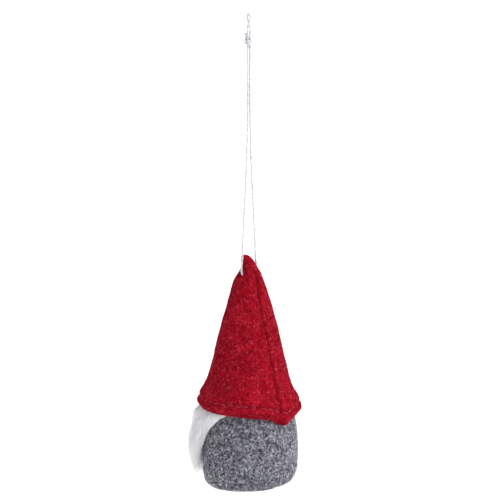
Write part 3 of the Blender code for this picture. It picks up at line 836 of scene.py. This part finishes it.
def fur_strands(count, seed, low_layer, high_layer, width, wild, tail, edge=False):
    """Paths and radii of hairs that hang from the backing, drawn together into locks at their ends.
    Wild hairs scatter and stand off, and a longer tail lets more of them hang below the dense fur."""
    rng = np.random.default_rng(seed)
    steps = 10
    share = rng.uniform(-1, 1, count)
    if edge:
        share = np.sign(share) * (0.84 + 0.2 * np.abs(share))
    root_azimuth = share * BEARD_HALF_ANGLE
    hem = hem_edge_depth(root_azimuth) - 2.2
    under_nose = np.where(np.abs(root_azimuth) < 12.0, 8.5, 0.0)
    lowest = smooth_values(BEARD_LOWEST, np.abs(share))
    start = hem + under_nose + (88.0 - hem - under_nose) * rng.beta(0.55, 1.7, count)
    end = smooth_values(BEARD_DENSE, np.abs(share)) - 3.0 + rng.exponential(tail, count)
    end = np.minimum(end, lowest - rng.uniform(0.0, 4.0, count))
    end = np.maximum(end, start + 6.0)
    layer = rng.uniform(low_layer, high_layer, count)
    t = np.linspace(0, 1, steps)[None]
    depth = start[:, None] + (end - start)[:, None] * t

    # Each hair leans towards its nearest lock
    locks = np.sort(np.random.default_rng(9).uniform(-1, 1, LOCKS))
    own_lock = np.argmin(np.abs(share[:, None] - locks[None]), axis=1)
    moved = share[:, None] + (locks[own_lock] - share)[:, None] * (0.6 * t**1.4)
    drift_at = np.stack([moved * 7.0, depth * 0.09, layer[:, None] + 0 * t], axis=-1)
    drift = 0.05 * lattice_noise(drift_at, 1.0, 77) * (0.3 + t)
    sway = rng.normal(0, 0.012 * (1 + 2 * wild), count)[:, None] * t**1.3
    azimuth = beard_field(moved + drift * (0.4 if edge else 1.0) + sway, depth)
    wave = rng.normal(0, 0.7, count)[:, None] * np.sin(3.4 * t + rng.uniform(0, 6, count)[:, None])
    azimuth = azimuth + wave

    # Hairs rise to their layer from the roots, and whole locks stand out further
    rise = np.minimum(1.0, 0.3 + 3.0 * t)
    radius = body_under(azimuth, depth) + 0.6 + fur_room(azimuth, depth) * layer[:, None] * rise
    radius = radius + np.abs(rng.normal(0, 1.5 * wild, count))[:, None] * t**1.6
    stand = lattice_noise(np.stack([locks * 9.0, locks * 0, locks * 0], axis=-1), 1.0, 83)
    radius = radius + 0.9 * layer[:, None] * stand[own_lock][:, None] * smoothstep(0.2, 0.8, t)
    points = directions(azimuth) * radius[..., None]
    points[..., 2] = TIP_Z - depth
    thickness = width / 2 * rng.uniform(0.7, 1.25, count)[:, None]
    radii = thickness * np.clip(1.05 - t**2.2, 0.15, 1)
    return clear_of_nose(points), radii


def clear_of_nose(points):
    """Pushes hairs off the bead, so that they part round it."""
    reach = NOSE_RADIUS + 0.25
    away = points - NOSE_CENTRE
    distance = np.linalg.norm(away, axis=-1, keepdims=True)
    side = away * [1.0, 0.35, 1.0]
    side = side / (np.linalg.norm(side, axis=-1, keepdims=True) + 1e-9)
    return points + side * np.maximum(reach - distance, 0.0) * 1.2


def make_fur_bed(material):
    """The pile's dense lower part, under the loose hairs."""
    shares = np.linspace(-0.9, 0.9, 150)
    rows = []
    for s in np.linspace(0, 1, 70):
        top = hem_edge_depth(shares * BEARD_HALF_ANGLE) - 2.0
        low = smooth_values(BEARD_BED, np.abs(shares))
        depth = top + (low - top) * s
        azimuth = beard_field(shares, depth)
        grooves = lattice_noise(np.stack([shares * 45, depth * 0.12, depth * 0], axis=-1), 1.0, 71)
        thick = fur_room(azimuth, depth) * (0.42 + 0.12 * grooves)
        thick = thick * (1 - 0.8 * smoothstep(0.72, 0.9, np.abs(shares)))
        thick = thick * (1 - 0.85 * smoothstep(0.8, 1.0, s))
        radius = body_under(azimuth, depth)
        row = directions(azimuth) * (radius + 0.5 + thick)[:, None]
        row[:, 2] = TIP_Z - depth
        inner = directions(azimuth) * (radius - 0.5)[:, None]
        inner[:, 2] = TIP_Z - depth
        rows.append(clear_of_nose(np.concatenate([row, inner[::-1]])))
    return capped_rings("beard_bed", rows, material)


# Cord

def eye_route():
    """Centreline of the eye above the knot: up one side, round the bight and down, crossing once."""
    return EYE_SIDE + [(0.0, 0.0, CORD_D / 2)] + [(-s, -w, z) for s, w, z in reversed(EYE_SIDE)]


def strand_side():
    """One strand from the knot down to the crossing, as (distance from the middle, height)."""
    side = [(spread, z) for z, spread in STRAND_ROUTE]
    side.append((STRAND_SPREAD, CROSSING_Z + BEND_RADIUS))
    for turn in np.radians([30.0, 60.0]):
        across = STRAND_SPREAD - BEND_RADIUS * (1 - math.cos(turn))
        side.append((across, CROSSING_Z + BEND_RADIUS * (1 - math.sin(turn))))
    side.append((STRAND_SPREAD - BEND_RADIUS, CROSSING_Z))
    side.append((0.7, CROSSING_Z))
    return side


def turned(points, azimuth):
    points = np.asarray(points, float)
    flat = directions(azimuth) * points[:, :1] + directions(azimuth + 90.0) * points[:, 1:2]
    flat[:, 2] = points[:, 2]
    return flat


def cord_route():
    """Up one strand from inside the tip, through the knot, round the eye and down the other strand."""
    side = [(u, 0.0, z) for u, z in strand_side()]
    up = turned(side[::-1], CROSSING_AZIMUTH)
    down = turned([(-u, v, z) for u, v, z in side], CROSSING_AZIMUTH)
    eye = turned(eye_route(), EYE_AZIMUTH)
    if np.linalg.norm(up[-1][:2] - eye[0][:2]) > np.linalg.norm(up[-1][:2] - eye[-1][:2]):
        eye = eye[::-1]
    return np.vstack([up, eye, down])


def make_cord(material):
    step = 0.28
    path = smooth_path(cord_route(), step)
    angles = np.arange(16) * 2 * np.pi / 16
    along = np.gradient(path, axis=0)
    along /= np.linalg.norm(along, axis=1, keepdims=True)
    side = np.cross(along[0], [1.0, 0.0, 0.0])
    points = []
    for s in range(len(path)):
        side = side - along[s] * (side @ along[s])
        side /= np.linalg.norm(side)
        other = np.cross(along[s], side)
        ply = 0.5 + 0.5 * np.cos(3 * (angles - 2 * np.pi * s * step / PLY_PITCH))
        radius = CORD_D / 2 * (0.80 + 0.22 * ply**0.7)
        ring = side * np.cos(angles)[:, None] + other * np.sin(angles)[:, None]
        points.append(path[s] + ring * radius[:, None])
    made = capped_rings("cord", points, material, top=path[0], bottom=path[-1])
    return made, path


def make_knot(material):
    """Knot in the doubled cord: two turns round the strands, a cut end beside it and one pointing up."""
    middle = (KNOT_TOP_Z + KNOT_BOTTOM_Z) / 2
    route = [(-2.6, 0.7, middle + 0.7), (-1.9, 0.85, middle - 0.1)]
    angles = np.arange(150.0, -511.0, -60.0)
    for turn, share in zip(np.radians(angles), np.linspace(0.0, 1.0, len(angles))):
        along, across = KNOT_REACH[0] * math.cos(turn), KNOT_REACH[1] * math.sin(turn)
        route.append((along, across, middle - 1.2 + 1.9 * share))
    route += [(-1.45, -0.1, middle + 1.5), (-1.5, 0.0, middle + 2.6), (-1.3, 0.1, middle + 3.7)]
    path = smooth_path(turned([(u, -v, z) for u, v, z in route], EYE_AZIMUTH), 0.25)
    return tubes("cord_knot_tied", path[None], np.full((1, len(path)), CORD_D / 2), material, sides=14)


# Stitches and nose

def make_stitches(material):
    """Short curved stitches over the hem's groove, their ends sunk in the felt."""
    rng = np.random.default_rng(5)
    order = np.arange(STITCHES)
    azimuths = order * 360.0 / STITCHES + rng.normal(0, 0.5, STITCHES)
    slants = np.where(order % 2 == 0, 0.32, -0.18) + rng.normal(0, 0.12, STITCHES)
    half = math.degrees(STITCH_LENGTH / 2 / 23.0)
    t = np.linspace(-1, 1, 7)
    paths = []
    for centre, slant in zip(azimuths, slants):
        azimuth = centre + half * t
        points = hat_points(azimuth, HEM_DEPTH - STITCH_ABOVE_HEM + slant * t)
        paths.append(points + directions(azimuth) * (0.42 - 0.75 * t**2)[:, None])
    radii = np.full((STITCHES, 7), STITCH_RADIUS) * np.array([0.7, 0.9, 1, 1, 1, 0.9, 0.7])
    return tubes("hem_stitches", np.array(paths), radii, material, sides=8)


def make_nose(material):
    """Turned wooden bead, drilled through sideways for its thread."""
    columns = 48
    turn = np.arange(columns) * 2 * np.pi / columns
    mouth = math.asin(BEAD_HOLE / NOSE_RADIUS)
    profile = []
    for polar in np.linspace(mouth, math.pi - mouth, 40):
        profile.append((NOSE_RADIUS * math.sin(polar), NOSE_RADIUS * math.cos(polar)))
    profile += [(BEAD_HOLE, x) for x in np.linspace(-0.9, 0.9, 8) * NOSE_RADIUS]
    rows = []
    for r, x in profile:
        ring = np.stack([np.full(columns, x), r * np.cos(turn), r * np.sin(turn)], axis=-1)
        rows.append(ring + NOSE_CENTRE)
    points = np.array(rows).reshape(-1, 3)
    index = ring_faces(len(rows) + 1, columns) % len(points)
    return mesh_object("nose", points, [index], material)


# Stage

def look_from(azimuth, elevation, distance, target):
    a, e = math.radians(azimuth), math.radians(elevation)
    back = Vector((math.sin(a) * math.cos(e), -math.cos(a) * math.cos(e), math.sin(e)))
    return Vector(target) + back * distance, (-back).to_track_quat("-Z", "Y")


def make_camera():
    data = bpy.data.cameras.new("camera")
    data.sensor_width = SENSOR
    data.lens = SENSOR * CAMERA_DISTANCE / CAMERA_WIDTH
    data.clip_start, data.clip_end = 0.05, 100.0
    camera = bpy.data.objects.new("camera", data)
    bpy.context.scene.collection.objects.link(camera)
    target = directions(CAMERA_AZIMUTH + 90.0) * CAMERA_AIM_SIDE + [0.0, 0.0, CAMERA_AIM_Z]
    camera.location, turn = look_from(CAMERA_AZIMUTH, CAMERA_ELEVATION, CAMERA_DISTANCE * MM, target * MM)
    camera.rotation_mode = "QUATERNION"
    camera.rotation_quaternion = turn
    bpy.context.scene.camera = camera


def make_light(name, azimuth, elevation, strength, softness):
    """Large soft light far away, as wide as softness in degrees."""
    data = bpy.data.lights.new(name, "SUN")
    data.angle = math.radians(softness)
    data.energy = strength
    light = bpy.data.objects.new(name, data)
    bpy.context.scene.collection.objects.link(light)
    light.location, turn = look_from(azimuth, elevation, 2.0, (0, 0, -0.15))
    light.rotation_mode = "QUATERNION"
    light.rotation_quaternion = turn


def make_stage():
    world = bpy.data.worlds.new("studio")
    world.use_nodes = True
    world.node_tree.nodes["Background"].inputs["Color"].default_value = (1.0, 1.0, 1.0, 1.0)
    world.node_tree.nodes["Background"].inputs["Strength"].default_value = WORLD_STRENGTH
    bpy.context.scene.world = world
    bpy.context.scene.view_settings.view_transform = "Standard"
    make_light("key", CAMERA_AZIMUTH + KEY_FROM_CAMERA, KEY_ELEVATION, KEY_STRENGTH, KEY_SOFTNESS)

    made, tree, shader, place = start_material("studio_floor", 0.9)
    grain = noise_value(tree, place, 40.0)
    tree.links.new(ramp(tree, grain, [(0.3, (0.93, 0.93, 0.93)), (0.7, (0.97, 0.97, 0.97))]),
                   shader.inputs["Base Color"])
    z = BASE_Z - FLOOR_DROP
    corners = [(x * FLOOR_SIDE, y * FLOOR_SIDE, z) for x, y in ((-1, -1), (1, -1), (1, 1), (-1, 1))]
    floor = mesh_object("floor", corners, [[(0, 1, 2, 3)]], made, smooth=False)


# Putting it together

def on_figure(piece, slot, *nodes):
    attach(piece, "figure")
    if nodes:
        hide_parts(*nodes)
    return piece


def outside_below(depth):
    """Picks outward-facing triangles below a depth, from their centres and normals."""
    def keep(centres, normals):
        outward = np.sum(centres[:, :2] * normals[:, :2], axis=1) > 0
        return outward & (centres[:, 2] < TIP_Z - depth)
    return keep


def add_cord():
    white_cord = thread_material("white_cord", *WHITE_CORD)
    cord, path = make_cord(white_cord)
    knot = make_knot(white_cord)
    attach(knot, "hanger")
    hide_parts("cord_knot")
    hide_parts("cord_eye", "cord_strands")
    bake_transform(cord)


def add_fibres(skin, slot, fibres, fuzz, materials, length, curl, below):
    """Lying fibres on a felt piece, and its fuzz: piece, length, width and seed of the standing ones."""
    surface = surface_of(skin)
    keep = outside_below(below)
    for name, tone, count, width, lift, seed in fibres:
        paths, radii = lying_fibres(surface, count, keep, length, width, lift, curl, seed)
        on_figure(tubes(name, paths, radii, materials[tone]), slot)
    name, reach, width, seed = fuzz
    paths, radii = standing_fibres(surface, keep, reach, width, seed)
    on_figure(tubes(name, paths, radii, materials["light"]), slot)


def add_felts(red, grey):
    hat = on_figure(make_hat(red), "red_felt", "hat_felt")
    stuff(hat, hat_sewn)
    body = on_figure(make_body(grey), "grey_felt", "body_felt")
    stuff(body, body_sewn)

    reds = {
        "light": fibre_material("red_fibres_light", RED_LIGHT, 1.2),
        "dark": fibre_material("red_fibres_dark", RED_DARK, 1.2),
    }
    greys = {
        "light": fibre_material("grey_fibres_light", GREY_LIGHT, 1.3),
        "dark": fibre_material("grey_fibres_dark", GREY_DARK),
    }
    add_fibres(hat, "red_felt", HAT_FIBRES, ("hat_fuzz", 1.1, 0.07, 103), reds,
               length=3.6, curl=0.35, below=1.0)
    add_fibres(body, "grey_felt", BODY_FIBRES, ("body_fuzz", 1.6, 0.085, 113), greys,
               length=3.4, curl=0.7, below=68.0)


def add_beard():
    fur = fur_material("white_fur", *WHITE_FUR)
    on_figure(make_fur_bed(fur), "white_fur", "beard_pile")
    for name, count, seed, low, high, width, wild, tail, edge in BEARD_HAIRS:
        points, radii = fur_strands(count, seed, low, high, width, wild, tail, edge)
        on_figure(tubes(name, points, radii, fur), "white_fur")


def build():
    make_camera()
    make_stage()
    add_cord()
    red = felt_material("red_felt", *RED_FELT, 7.0)
    grey = felt_material("grey_felt", *GREY_FELT, 3.0)
    add_felts(red, grey)
    red_thread = thread_material("red_thread", *RED_THREAD)
    on_figure(make_stitches(red_thread), "red_thread", "hat_hem_stitching")
    add_beard()
    on_figure(make_nose(wood_material("bead_wood")), "bead_wood", "nose_bead")

    grey_thread = thread_material("grey_thread", *GREY_THREAD)
    backing = felt_material("backing_cloth", *BACKING_CLOTH, 2.0)
    fibre_fill = fibre_material("fibre_fill", FIBRE_FILL)
    for name, finish in (
        ("base_felt", grey), ("beard_backing", backing), ("hat_filling", fibre_fill),
        ("body_filling", fibre_fill), ("hat_seam_thread", red_thread), ("body_seam_thread", grey_thread),
        ("base_seam_thread", grey_thread),
    ):
        frame["nodes"][name].data.materials[0] = finish


build()
